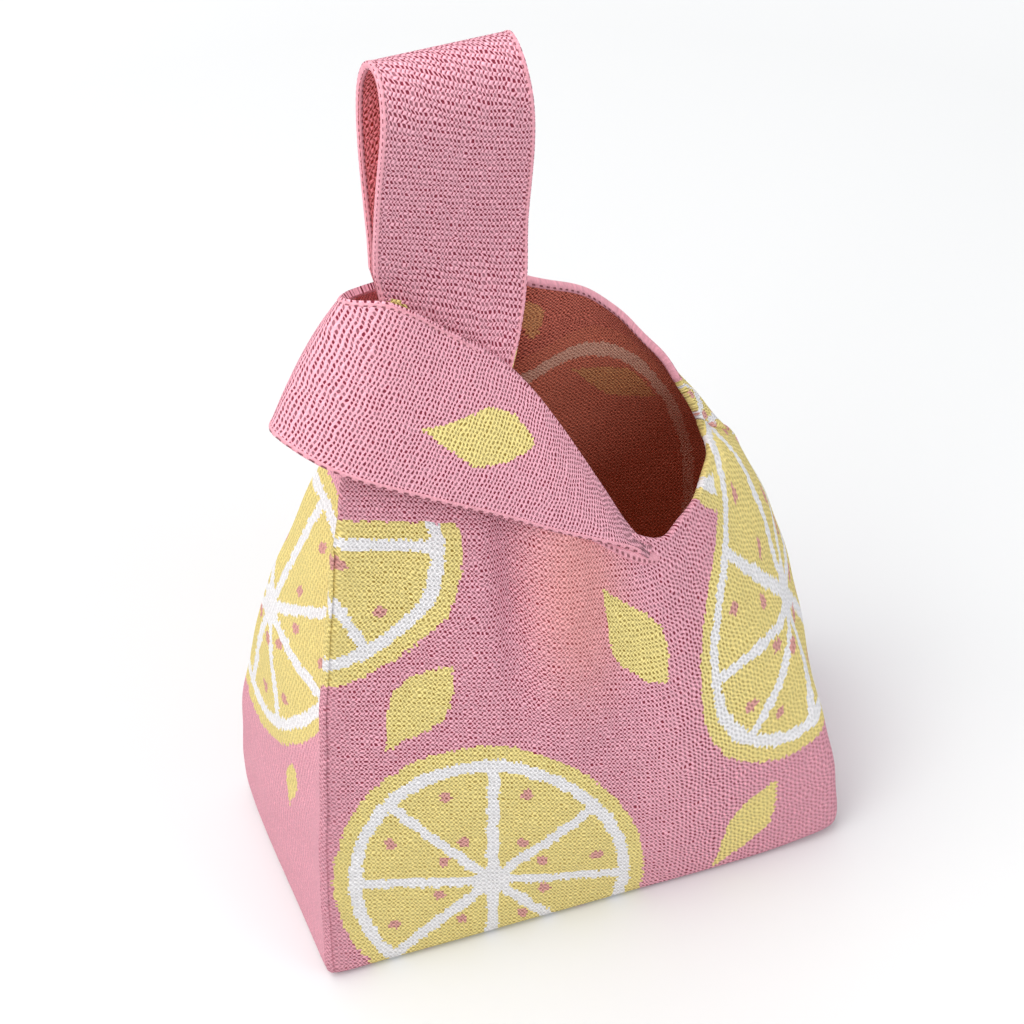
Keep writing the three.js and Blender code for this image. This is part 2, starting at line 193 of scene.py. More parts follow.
half = FLOOR_SIZE / 2
floor_mesh = bpy.data.meshes.new("floor")
floor_corners = [(-half, -half, 0), (half, -half, 0), (half, half, 0), (-half, half, 0)]
floor_mesh.from_pydata(floor_corners, [], [(0, 1, 2, 3)])
floor = bpy.data.objects.new("floor", floor_mesh)
scene.collection.objects.link(floor)
floor_paint, paint, shader = new_material("white_sweep")
path = new_node(paint, "LightPath").outputs
position = new_node(paint, "NewGeometry").outputs["Position"]
from_bag = new_node(paint, "VectorMath", (position,), operation="LENGTH").outputs["Value"]
lift = ramp(Value(paint, from_bag), *FAR_FLOOR, FLOOR_LIFT, FAR_LIFT, "LINEAR")
feed_all(paint, shader, {
    "Base Color": FLOOR_WHITE,
    "Roughness": FLOOR_ROUGHNESS,
    "Specular IOR Level": 0.0,
    "Emission Color": (1, 1, 1, 1),
    "Emission Strength": lift * path["Is Camera Ray"],
})
floor_mesh.materials.append(floor_paint)

# Pouch
# A boxed pouch of soft double jersey: front and right side knitted in one, back and left side in one,
# linked at the front left and back right corners. The other two corners and the bottom edges only fold.
CLOTH = 0.0024
BASE_LENGTH = 0.2
BASE_DEPTH = 0.1
SHOULDER_Z = 0.222
GUSSET_DROP = 0.022
GUSSET_TUCK = 0.014
GUSSET_SAG = 0.018
FRONT_SWELL = 0.004
BACK_SWELL = 0.005
LEFT_SWELL = 0.005
RIGHT_SWELL = 0.006
RIGHT_SWELL_LOW = 1.5
GRID_STEP = 0.002
LEFT_FOOT_X = -0.0993
RIGHT_FOOT_X = 0.101
FRONT_FOOT_Y = -0.0535
BACK_FOOT_Y = 0.051
handle_x = frame["joints"][0]["pos_m"][0]


def from_handle(*offset):
    """A point given from the long handle's middle line, at shoulder height."""
    return np.array((handle_x, 0, SHOULDER_Z)) + np.array(offset)


def mix(a, b, share):
    return np.asarray(a) + (np.asarray(b) - np.asarray(a)) * share


def spline(*knots):
    """A smooth curve through points, each given with its share of the way along."""
    at = np.array([knot[0] for knot in knots], float)
    points = np.array([knot[1] for knot in knots], float)
    count = np.arange(len(at))
    before, after = np.maximum(count - 1, 0), np.minimum(count + 1, len(at) - 1)
    slopes = (points[after] - points[before]) / (at[after] - at[before])[:, None]

    def curve(share):
        share = np.asarray(share, float)
        k = np.clip(np.searchsorted(at, share) - 1, 0, len(at) - 2)
        span = (at[k + 1] - at[k])[..., None]
        t = (share - at[k])[..., None] / span
        return (
            points[k] * (1 + 2 * t) * (1 - t) ** 2
            + slopes[k] * span * t * (1 - t) ** 2
            + points[k + 1] * t * t * (3 - 2 * t)
            + slopes[k + 1] * span * t * t * (t - 1)
        )

    return curve


def upright(foot, top, bow):
    """One of the pouch's corner lines, straight from foot to top with a bow between."""
    foot, top, bow = np.array(foot), np.array(top), np.array((*bow, 0))

    def line(share):
        s = np.asarray(share, float)[..., None]
        return foot + (top - foot) * s + bow * 4 * s * (1 - s)

    return line


def fill(bottom, top, left, right, across, up):
    """A grid of points that fills four edges. Its first index runs across and its second up."""
    u, w = across[:, None, None], up[None, :, None]
    low, high = bottom(across)[:, None], top(across)[:, None]
    corners = (1 - w) * mix(low[:1], low[-1:], u) + w * mix(high[:1], high[-1:], u)
    return mix(low, high, w) + mix(left(up)[None], right(up)[None], u) - corners


foot_z = CLOTH / 2
shoulder_front = from_handle(-0.0475, -0.031, 0)
shoulder_back = from_handle(-0.014, 0.016, 0)
mouth_low = from_handle(0.061, -0.0365, -0.067)
mouth_front = from_handle(0.0925, -0.003, -0.0728)
mouth_back = from_handle(0.101, 0.018, -0.072)
peak = from_handle(0.0365, 0.0215, 0.0108)
neck = from_handle(0.017, 0.031, -0.032)
front_left = upright((LEFT_FOOT_X, FRONT_FOOT_Y, foot_z), shoulder_front, (-0.0056, -0.003))
front_right = upright((RIGHT_FOOT_X, FRONT_FOOT_Y, foot_z), mouth_front, (0.0065, -0.0095))
back_right = spline(
    (0, (RIGHT_FOOT_X, BACK_FOOT_Y, foot_z)),
    (0.33, (0.0985, 0.046, 0.05)),
    (0.66, (0.093, 0.035, 0.106)),
    (0.86, mouth_back + (0.0125, 0.006, -0.011)),
    (1, mouth_back),
)
back_left = upright((LEFT_FOOT_X, BACK_FOOT_Y, foot_z), shoulder_back, (-0.0145, 0.005))
front_top = spline(
    (0, shoulder_front),
    (0.16, mix(shoulder_front, mouth_low, 0.24) + (0, 0, 0.003)),
    (0.33, mix(shoulder_front, mouth_low, 0.5) + (0, -0.0005, 0.009)),
    (0.5, mix(shoulder_front, mouth_low, 0.75) + (0, -0.001, 0.005)),
    (0.65, mouth_low),
    (0.77, mix(mouth_low, mouth_front, 0.38) + (0, -0.0025, -0.0006)),
    (0.89, mix(mouth_low, mouth_front, 0.72) + (0, -0.0035, 0)),
    (1, mouth_front),
)
back_top = spline(
    (0, mouth_back),
    (0.11, mix(mouth_back, peak, 0.25) + (0.006, 0.0055, 0.0024)),
    (0.22, mix(mouth_back, peak, 0.5) + (0.008, 0.0065, 0.0034)),
    (0.34, mix(mouth_back, peak, 0.75) + (0.007, 0.005, 0.0046)),
    (0.45, peak),
    (0.5, mix(peak, neck, 0.2) + (-0.004, 0, 0.008)),
    (0.64, neck),
    (0.82, mix(neck, shoulder_back, 0.5)),
    (1, shoulder_back),
)
gusset_share = 1 - GUSSET_DROP / SHOULDER_Z
gusset_back, gusset_front = back_left(gusset_share), front_left(gusset_share)
left_top = spline(
    (0, gusset_back),
    (0.45, mix(gusset_back, gusset_front, 0.42) + (GUSSET_TUCK / 2, 0, -GUSSET_SAG * 2 / 3)),
    (0.78, mix(gusset_back, gusset_front, 0.76) + (GUSSET_TUCK, 0, -GUSSET_SAG)),
    (1, gusset_front),
)
right_top = spline(
    (0, mouth_front),
    (0.5, mix(mouth_front, mouth_back, 0.5) + (0.0022, 0, -0.001)),
    (1, mouth_back),
)


def edge_line(start, end):
    return lambda share: mix(start(0), end(0), np.asarray(share)[..., None])


long_side = np.linspace(0, 1, round(BASE_LENGTH / GRID_STEP) + 1)
short_side = np.linspace(0, 1, round(BASE_DEPTH / GRID_STEP) + 1)
gusset_rows = np.linspace(0, gusset_share, round((SHOULDER_Z - GUSSET_DROP) / GRID_STEP) + 1)
shoulder_rows = np.linspace(gusset_share, 1, round(GUSSET_DROP / GRID_STEP) + 1)[1:]
up = np.concatenate([gusset_rows, shoulder_rows])


def hump(across, rows):
    """One rounded swell over a panel, nothing at its edges."""
    return np.sin(np.pi * across)[:, None] * np.sin(np.pi * rows)[None, :]


walls = {
    "front": fill(edge_line(front_left, front_right), front_top, front_left, front_right, long_side, up),
    "right": fill(edge_line(front_right, back_right), right_top, front_right, back_right, short_side, up),
    "back": fill(edge_line(back_right, back_left), back_top, back_right, back_left, long_side, up),
    "left": fill(
        edge_line(back_left, front_left),
        left_top,
        lambda share: back_left(share * gusset_share),
        lambda share: front_left(share * gusset_share),
        short_side,
        gusset_rows / gusset_share,
    ),
    "base": fill(
        edge_line(back_left, back_right), edge_line(front_left, front_right),
        edge_line(back_left, front_left), edge_line(back_right, front_right),
        long_side, short_side,
    ),
}
walls["front"][..., 1] -= FRONT_SWELL * hump(long_side, up)
walls["back"][..., 1] += BACK_SWELL * hump(long_side, up)
walls["right"][..., 0] += RIGHT_SWELL * hump(short_side, up ** RIGHT_SWELL_LOW)
walls["left"][..., 0] -= LEFT_SWELL * hump(short_side, gusset_rows / gusset_share)

# The five panels are welded into one skin, so that their folds can be rounded together.
skin, numbers = np.unique(
    np.round(np.concatenate([grid.reshape(-1, 3) for grid in walls.values()]), 6),
    axis=0,
    return_inverse=True,
)
panels = {}
first = 0
for wall, grid in walls.items():
    size = grid.shape[0] * grid.shape[1]
    panels[wall] = numbers.reshape(-1)[first:first + size].reshape(grid.shape[:2])
    first += size


def grid_faces(numbered):
    """The four corners of each face of a numbered grid."""
    corners = (numbered[:-1, :-1], numbered[1:, :-1], numbered[1:, 1:], numbered[:-1, 1:])
    return np.stack(corners, -1).reshape(-1, 4)


faces = np.concatenate([grid_faces(numbered) for numbered in panels.values()])
sides = np.concatenate([faces[:, [k, (k + 1) % 4]] for k in range(4)])
sides, uses = np.unique(np.sort(sides, axis=1), axis=0, return_counts=True)
on_rim = np.zeros(len(skin), bool)
on_rim[sides[uses == 1]] = True
pulls = np.concatenate([sides, sides[:, ::-1]])
pulls = pulls[~on_rim[pulls[:, 0]] | np.tile(uses == 1, 2)]
PULL = 0.5


def soften(points, amount, times):
    """Rounds a skin: points move towards their neighbours' middle, rim points only along the rim."""
    count = np.maximum(np.bincount(pulls[:, 0], minlength=len(points)), 1)[:, None]
    for _ in range(times):
        pulled = points[pulls[:, 1]]
        totals = [np.bincount(pulls[:, 0], pulled[:, k], len(points)) for k in range(3)]
        points = points + (np.stack(totals, 1) / count - points) * amount[:, None] * PULL
    return points


FOLD_REACH = 0.012
FOLD_TIMES = 12
CORNER_SOFTNESS = (0.25, 1.0, 0.5, 1.0)
BOTTOM_SOFTNESS = 0.7
amount = np.zeros(len(skin))


def soft_from(numbered, distance, softness):
    """Lets a panel's points near a fold be rounded, less with their distance from it."""
    near = np.clip(1 - distance / FOLD_REACH, 0, 1) * softness
    np.maximum.at(amount, numbered.reshape(-1), np.broadcast_to(near, numbered.shape).reshape(-1))


def along(grid, axis):
    """How far each point of a grid is from its start, measured along the cloth."""
    steps = np.linalg.norm(np.diff(grid, axis=axis), axis=-1)
    start = np.zeros_like(np.take(steps, [0], axis=axis))
    return np.concatenate([start, np.cumsum(steps, axis=axis)], axis=axis)


# The corners go round from the front left one, and each wall runs from one corner to the next.
for corner, wall in enumerate(("front", "right", "back", "left")):
    width = along(walls[wall], 0)
    soft_from(panels[wall], width, CORNER_SOFTNESS[corner])
    soft_from(panels[wall], width[-1:] - width, CORNER_SOFTNESS[(corner + 1) % 4])
    soft_from(panels[wall], along(walls[wall], 1), BOTTOM_SOFTNESS)
for axis in (0, 1):
    distance = along(walls["base"], axis)
    soft_from(panels["base"], distance, BOTTOM_SOFTNESS)
    soft_from(panels["base"], np.take(distance, [-1], axis=axis) - distance, BOTTOM_SOFTNESS)
skin = soften(skin, amount, FOLD_TIMES)
ROUNDED_PLACES = (
    # middle, reach, how many times
    (mouth_front, 0.016, 20),
    (mouth_back, 0.022, 50),
    (mouth_low, 0.014, 20),
    (front_right(0), 0.02, 45),
    (back_right(0), 0.02, 50),
    (back_left(0), 0.014, 30),
    (front_left(0), 0.005, 3),
)
for place, reach, times in ROUNDED_PLACES:
    skin = soften(skin, np.exp(-((np.linalg.norm(skin - place, axis=1) / reach) ** 2)), times)


def unit(vectors):
    return vectors / np.maximum(np.linalg.norm(vectors, axis=-1, keepdims=True), 1e-12)


def face_normals(points, faces):
    """The faces' normals, each as long as twice its face's area."""
    return np.cross(points[faces[:, 2]] - points[faces[:, 0]], points[faces[:, 3]] - points[faces[:, 1]])


def normals_of(points, faces):
    """Unit normals of a mesh's points, from the faces round them."""
    spread = np.repeat(face_normals(points, faces), 4, axis=0)
    return unit(np.stack([np.bincount(faces.reshape(-1), spread[:, k], len(points)) for k in range(3)], 1))


# Soft dents and gathers: a shadowed valley and a rounded hump beside it under the drawn-in shoulder, folds
# in the back, and the slow unevenness of slack cloth.
GATHERS = (
    # wall, middle across, middle up, reach across, reach up, how far out
    ("front", -0.026, 0.162, 0.006, 0.042, -0.0062),
    ("front", -0.0095, 0.15, 0.012, 0.05, 0.0046),
    ("front", -0.048, 0.15, 0.014, 0.05, 0.0014),
    ("back", 0.01, 0.15, 0.01, 0.05, -0.0025),
    ("back", 0.045, 0.12, 0.02, 0.06, 0.002),
)
SLACK = 0.0007
SLACK_ABOVE = 0.03
SLACK_WAVES = (
    # share, then turns and start of a wave over length and height, and of one over depth and height
    (1.0, (71, 38, 0.7), (62, -53, 1.9)),
    (0.6, (127, -94, 2.4), (101, 118, 0)),
)
outward = normals_of(skin, faces)
pushed = np.zeros(len(skin))
for wall, middle, height, reach_across, reach_up, out in GATHERS:
    grid = skin[panels[wall]]
    away_by = ((grid[..., 0] - middle) / reach_across) ** 2 + ((grid[..., 2] - height) / reach_up) ** 2
    np.add.at(pushed, panels[wall].reshape(-1), (out * np.exp(-away_by)).reshape(-1))
x, y, z = skin.T
slack = sum(
    share * np.sin(x * a[0] + z * a[1] + a[2]) * np.sin(y * b[0] + z * b[1] + b[2])
    for share, a, b in SLACK_WAVES
)
skin = skin + outward * (pushed + SLACK * slack * np.clip(z / SLACK_ABOVE, 0, 1))[:, None]
outward = normals_of(skin, faces)

# Place of each point on the cloth laid flat. The front piece runs on round the right side, the back piece
# round the left side, and the base carries on under the front. The front piece is drawn up on its left, so
# its rows slope down to the right, and they rise again on the right side.
BACK_CORNER = 0.4
ROW_SLOPES = (-0.28, 0.36)
SLOPE_CHANGE = (0.012, 0.056)
slope_at = np.linspace(-0.2, 0.4, 601)
slope_share = np.clip((slope_at - SLOPE_CHANGE[0]) / (SLOPE_CHANGE[1] - SLOPE_CHANGE[0]), 0, 1)
slope_share = slope_share * slope_share * (3 - 2 * slope_share)
row_rise = np.cumsum(mix(*ROW_SLOPES, slope_share)) * (slope_at[1] - slope_at[0])
row_rise -= np.interp(0, slope_at, row_rise)
shaped = {wall: skin[numbered] for wall, numbered in panels.items()}
middle_column = len(long_side) // 2
across = {wall: along(grid, 0) for wall, grid in shaped.items()}
across["front"] += shaped["front"][middle_column, :, 0] - across["front"][middle_column]
across["right"] += across["front"][-1:]
across["back"] += BACK_CORNER - across["back"][-1:]
across["left"] += BACK_CORNER
across["base"] = shaped["base"][..., 0]
height = {wall: along(grid, 1) for wall, grid in shaped.items()}
height["base"] -= height["base"][:, -1:]
for wall in ("front", "right", "base"):
    height[wall] -= np.interp(across[wall], slope_at, row_rise)
flats = {wall: np.stack([across[wall], height[wall]], -1) for wall in shaped}


def linear(red, green, blue):
    """A colour as a screen shows it, turned into the light values that a material takes."""
    shares = [value / 255 for value in (red, green, blue)]
    return (*[s / 12.92 if s <= 0.04045 else ((s + 0.055) / 1.055) ** 2.4 for s in shares], 1)


def mixed(tree, share, first, second, how="MIX"):
    """Two colours mixed by a share."""
    colours = {0: share, 6: first, 7: second}
    return new_node(tree, "Mix", colours, data_type="RGBA", blend_type=how).outputs[2]


def values_of(tree, sockets):
    """Outputs by name, ready for sums."""
    return {socket.name: Value(tree, socket) for socket in sockets}


def new_group(name, inputs, outputs):
    """An empty node group with number sockets: its tree, what it is given and what it gives."""
    tree = bpy.data.node_groups.new(name, "ShaderNodeTree")
    for way, sockets in (("INPUT", inputs), ("OUTPUT", outputs)):
        for socket in sockets:
            tree.interface.new_socket(socket, in_out=way, socket_type="NodeSocketFloat")
    given = values_of(tree, tree.nodes.new("NodeGroupInput").outputs)
    return tree, given, tree.nodes.new("NodeGroupOutput").inputs


def use_group(tree, group, *values):
    """What a group gives, with its inputs in order."""
    return values_of(tree, new_node(tree, "Group", values, node_tree=group).outputs)


def new_noise(tree, kind, dimensions, **inputs):
    """The outputs of a noise."""
    return new_node(tree, kind, inputs, noise_dimensions=dimensions).outputs


def parts_of(tree, vector):
    """The three numbers of a vector or colour."""
    return [Value(tree, socket) for socket in new_node(tree, "SeparateXYZ", (vector,)).outputs]


def place_of(across, upward):
    """A place on the flat cloth as one vector."""
    return new_node(across.tree, "CombineXYZ", (across, upward)).outputs[0]


def distance_of(x, y):
    """How far off a place is, from how far aside and how far up it is."""
    return x.of("MULTIPLY_ADD", x, y * y).of("SQRT")


# Jersey stitches: loops in staggered rows, with a small leaning hole between each four of them. Some knits
# show their rows more, others their upright wales, and no two stitches are alike.
HOLE_FROM = -0.32
HOLE_FULL = 0.42
HOLE_LEAN = 0.7
HOLE_LEAST = 0.65
HOLE_VARIES = 0.6
STRAY = 0.002
STRAY_SCALE = 170
RAGGED = 0.0009
knit, given, result = new_group(
    "knit",
    ("Across", "Along", "Wale", "Course", "Rows", "Wales"),
    ("Stitch across", "Stitch along", "Height", "Hole", "Shade"),
)
cloth_place = place_of(given["Across"], given["Along"])
drift = new_noise(knit, "TexNoise", "2D", Scale=STRAY_SCALE, Detail=2.0, Vector=cloth_place)
stray = parts_of(knit, drift["Color"])


def half_stitches(value, strayed, pitch):
    """A place along the cloth counted in half stitches, and the nearest whole one."""
    halves = ((strayed - 0.5) * STRAY + value) / pitch * 2.0
    return halves, (halves + 0.5).of("FLOOR")


def stitch_place(nearest, pitch, looseness):
    """Where on the flat cloth a stitch takes its colour from: its middle, a little to one side."""
    return (looseness - 0.5) * RAGGED + nearest * 0.5 * pitch


across_halves, column = half_stitches(given["Across"], stray[0], given["Wale"])
along_halves, row = half_stitches(given["Along"], stray[1], given["Course"])
noise = new_noise(knit, "TexWhiteNoise", "2D", Vector=place_of(column, row))
loose = parts_of(knit, noise["Color"])
uneven = Value(knit, noise["Value"])
row_turn = along_halves * math.pi
wale_turn = across_halves * math.pi + row_turn.of("SINE") * HOLE_LEAN
row_wave, wale_wave = row_turn.of("COSINE"), wale_turn.of("COSINE")
weave = wale_wave * row_wave + given["Rows"] * row_wave + given["Wales"] * wale_wave
weave /= given["Rows"] + given["Wales"] + 1.0
feed_all(knit, result, {
    "Stitch across": stitch_place(column, given["Wale"], loose[1]),
    "Stitch along": stitch_place(row, given["Course"], loose[2]),
    "Height": weave * -0.5 + 0.5,
    "Hole": ramp(weave, HOLE_FROM, HOLE_FULL) * (uneven * HOLE_VARIES + HOLE_LEAST),
    "Shade": uneven,
})

# A citrus slice: rind and flesh with a white ring, eight white spokes, a white hub and pink seeds. Gathered
# cloth is pulled out of square, so a slice has its own height and width, its spokes may spread sideways and
# its hub may lie off its middle. The reverse shows no spokes.
RIND_SHARE = 0.905
RING_SHARE = 0.825
SPOKES = 8
SECTOR = 2 * math.pi / SPOKES
SPOKE_HALF = 0.0022
HUB_RADIUS = 0.0072
SEED_RINGS = (
    # share of the slice's radius, start of its random draws
    (0.35, 11.5),
    (0.7, 12.5),
)
SEED_RADIUS = 0.0023
SEED_ASIDE = 0.2
citrus, given, result = new_group(
    "citrus_slice",
    (
        "Across", "Along", "Centre across", "Centre along", "Half width", "Half height",
        "Spread", "Turn", "Top", "Hub", "Spokes",
    ),
    ("Fruit", "Pith", "Seed"),
)
x = given["Across"] - given["Centre across"]
y = given["Along"] - given["Centre along"]
reach = distance_of(x / given["Half width"], y / given["Half height"])
spread, rise = x * given["Spread"], y - given["Hub"]
from_hub = distance_of(spread, rise)
sector = (spread.of("ARCTAN2", rise) + given["Turn"]) * (1 / SECTOR)
which = sector.of("FLOOR")
from_middle = sector - which - 0.5


def seeds_at(share, draw):
    """One seed in each sector, at a share of the slice's radius and a little aside."""
    jitter = new_noise(citrus, "TexWhiteNoise", "1D", W=which * 3.0 + draw)
    aside = Value(citrus, jitter["Value"]) * (2 * SEED_ASIDE) - SEED_ASIDE
    over = (from_middle - aside) * SECTOR * from_hub
    return distance_of(over, (reach - share) * given["Half width"]) < SEED_RADIUS


below_top = y < given["Top"]
inside_rind = below_top * (reach < RIND_SHARE)
ring = inside_rind * (reach > RING_SHARE)
from_spoke = (sector - sector.of("ROUND")).of("ABSOLUTE")
spoke = inside_rind * (from_hub * (from_spoke * SECTOR).of("SINE") < SPOKE_HALF)
hub = below_top * (from_hub < HUB_RADIUS)
feed_all(citrus, result, {
    "Fruit": below_top * (reach < 1.0),
    "Pith": ring.of("MAXIMUM", spoke.of("MAXIMUM", hub) * given["Spokes"]),
    "Seed": below_top * seeds_at(*SEED_RINGS[0]).of("MAXIMUM", seeds_at(*SEED_RINGS[1])),
})

# A leaf: two curved edges that meet in a blunt point at one end and run out into a thin tail at the other.
LEAF_WIDEST = 0.12
BLUNT_POWERS = (1.9, 1.0)
TAIL_POWERS = (1.5, 1.6)
leaf, given, result = new_group(
    "leaf",
    ("Across", "Along", "Centre across", "Centre along", "Half length", "Half width", "Turn"),
    ("Leaf",),
)
x = given["Across"] - given["Centre across"]
y = given["Along"] - given["Centre along"]
cosine, sine = given["Turn"].of("COSINE"), given["Turn"].of("SINE")
sideways = y * cosine - x * sine
from_widest = (x * cosine + y * sine) / given["Half length"] - LEAF_WIDEST


def leaf_side(reach, powers):
    """How wide a leaf is towards one of its ends, as a share of its widest."""
    share = (from_widest / reach).of("MAXIMUM", 0.0).of("MINIMUM", 1.0)
    return (1.0 - share.of("POWER", powers[0])).of("POWER", powers[1])


bulge = leaf_side(1 - LEAF_WIDEST, BLUNT_POWERS) * leaf_side(-1 - LEAF_WIDEST, TAIL_POWERS)
feed(leaf, result["Leaf"], sideways.of("ABSOLUTE") < bulge * given["Half width"])

PINK = linear(255, 187, 204)
HUMP_HIGHLIGHT_CORAL = linear(255, 179, 179)
YELLOW = linear(255, 236, 156)
WHITE = linear(252, 250, 252)
SEED_PINK = linear(240, 178, 170)
# The reverse tones are darker and redder than the face: partly the reverse yarn's own colour, partly painted
# shade for the inside of the pouch.
REVERSE_PINK = linear(224, 126, 108)
REVERSE_FRUIT = linear(222, 128, 104)
REVERSE_YELLOW = linear(228, 164, 112)
REVERSE_WHITE = linear(226, 178, 156)
FACE_TONES = (PINK, YELLOW, WHITE, SEED_PINK, YELLOW)
REVERSE_TONES = (REVERSE_PINK, REVERSE_FRUIT, REVERSE_WHITE, REVERSE_FRUIT, REVERSE_YELLOW)
# How dark the painted shade in the stitch holes is: a share of the stitch colour's own deep tone.
HOLE_SHADE_SHARE = 0.2
HOLE_SHADE_TONE = (HOLE_SHADE_SHARE, HOLE_SHADE_SHARE, HOLE_SHADE_SHARE, 1)
PITH_FILL = 0.28
FRUIT_FILL = 0.26
HUMP_HIGHLIGHT_FILL = 0.3
LEFT_SIDE_LIGHT_FILL = 0.2
SHADE_LEAST = 0.92
SHADE_VARIES = 0.16
GLOW_COLOUR = (1.0, 0.16, 0.05, 1)
GLOW = 0.03
MEAN_HOLE = 0.42
KNIT_DEPTH = 0.0005
SOFT_SURFACE = {"Roughness": 0.9, "Specular IOR Level": 0.1, "Sheen Weight": 0.05, "Sheen Roughness": 0.5}


def soft_material(name):
    """A soft surface without a colour yet, its tree, its shader's sockets and its places on flat cloth."""
    material, tree, shader = new_material(name)
    feed_all(tree, shader, SOFT_SURFACE)
    return material, tree, shader, new_node(tree, "UVMap", uv_map="flat").outputs[0]


def shaded(tree, colour, strength):
    """A colour made lighter or darker."""
    tone = colour if isinstance(colour, bpy.types.NodeSocket) else colour[:3]
    return new_node(tree, "VectorMath", {0: tone, "Scale": strength}, operation="SCALE").outputs[0]


def cover(tree, shader, colour, height, depth):
    """Gives a soft surface its colour and its relief."""
    bump = new_node(tree, "Bump", {"Distance": depth, "Height": height})
    feed_all(tree, shader, {"Base Color": colour, "Normal": bump.outputs[0]})


def jersey(name, gauge, tones, slices=(), leaves=(), area=None, spokes=1.0, glow=0.0):
    """A knitted cloth with slices and leaves worked into it, each stitch in one colour. gauge is how wide
    and high a stitch is and how much the rows and wales show. area gives how the stitches differ over it."""
    wale, course, rows, wales = gauge
    ground, fruit, pith, seed, leaf_tone = tones
    material, tree, shader, flat = soft_material(name)
    across, upward, _ = parts_of(tree, flat)
    contrast, hump_highlight, closed = 1.0, None, 0.0
    if area:
        contrast, rows, wales, hump_highlight, closed = area(across, upward)
    stitch = use_group(tree, knit, across, upward, wale, course, rows, wales)
    place = stitch["Stitch across"], stitch["Stitch along"]
    # A painted coral highlight on the lit hump, where the area gives one.
    colour = mixed(tree, hump_highlight, ground, HUMP_HIGHLIGHT_CORAL) if hump_highlight else ground
    for values in slices:
        cut = use_group(tree, citrus, *place, *values, spokes)
        for part, tone in (("Fruit", fruit), ("Pith", pith), ("Seed", seed)):
            colour = mixed(tree, cut[part], colour, tone)
        closed = (cut["Pith"] * PITH_FILL + cut["Fruit"] * FRUIT_FILL).of("MAXIMUM", closed)
    for values in leaves:
        on_leaf = use_group(tree, leaf, *place, *values)["Leaf"]
        colour = mixed(tree, on_leaf, colour, leaf_tone)
        closed = (on_leaf * FRUIT_FILL).of("MAXIMUM", closed)
    light = shaded(tree, colour, stitch["Shade"] * SHADE_VARIES + SHADE_LEAST)
    # Each hole between loops is painted a deep, darker tone of its stitch's colour: painted shade in the
    # gap.
    hole_shade = light
    for tone in (light, light, HOLE_SHADE_TONE):
        hole_shade = mixed(tree, 1.0, hole_shade, tone, "MULTIPLY")
    open_hole = ((stitch["Hole"] - MEAN_HOLE) * contrast + MEAN_HOLE) * (1.0 - closed)
    cover(tree, shader, mixed(tree, open_hole, light, hole_shade), stitch["Height"], KNIT_DEPTH)
    # A painted glow: emission that stands in for light coming through the cloth.
    if glow:
        feed_all(tree, shader, {"Emission Color": GLOW_COLOUR, "Emission Strength": glow})
    return material


# Where on the flat cloth the stitches change: how much the rows and wales show, and how dark the holes are.
ROWS_TO_WALES = (0.005, 0.04)
FRONT_ROWS = 0.4
RIGHT_ROWS = 0.1
RIGHT_WALES = 0.7
LEFT_SEAM = (-0.1, -0.085)
RIGHT_FOLD = (0.04, 0.085)
BACK_SEAM = (0.185, 0.215)
BACK_FOLD = (0.39, 0.41)
LOW_DOWN = (0.02, 0.09)
SEAM_CONTRAST = 0.5
RIGHT_CONTRAST = 0.45
BACK_GAIN = 0.45
LEFT_LOSS = 0.5
LOW_CONTRAST = 0.75
# Painted highlight: a warm coral patch, with lighter holes, over the lit hump of the front.
HUMP_HIGHLIGHT_MIDDLE = (-0.004, 0.154)
HUMP_HIGHLIGHT_REACH = (0.026, 0.056)
HUMP_HIGHLIGHT_FADE = (0.2, 1.3)


def over_pouch(across, upward):
    """How the stitches differ over the pouch: rows show on the left of the front and wales right of it,
    holes are lighter on the sides and low down, the left side is lightened as painted light, and a painted
    coral highlight with lighter holes lies on the lit hump of the front."""
    rows = ramp(across, *ROWS_TO_WALES, FRONT_ROWS, RIGHT_ROWS)
    wales = ramp(across, *ROWS_TO_WALES, 0.0, RIGHT_WALES)
    contrast = ramp(across, *RIGHT_FOLD, 1.0, RIGHT_CONTRAST) * ramp(across, *LEFT_SEAM, SEAM_CONTRAST, 1.0)
    contrast += ramp(across, *BACK_SEAM, 0.0, BACK_GAIN)
    contrast -= ramp(across, *BACK_FOLD, 0.0, LEFT_LOSS)
    contrast *= ramp(upward, *LOW_DOWN, LOW_CONTRAST, 1.0)
    aside = (across - HUMP_HIGHLIGHT_MIDDLE[0]) / HUMP_HIGHLIGHT_REACH[0]
    above = (upward - HUMP_HIGHLIGHT_MIDDLE[1]) / HUMP_HIGHLIGHT_REACH[1]
    hump_highlight = ramp(distance_of(aside, above), *HUMP_HIGHLIGHT_FADE, 1.0, 0.0)
    # The left side's holes are partly closed, so it reads lighter: painted light on the side that faces the
    # key lamp.
    closed = hump_highlight * HUMP_HIGHLIGHT_FILL + ramp(across, *BACK_FOLD, 0.0, LEFT_SIDE_LIGHT_FILL)
    return contrast, rows, wales, hump_highlight, closed


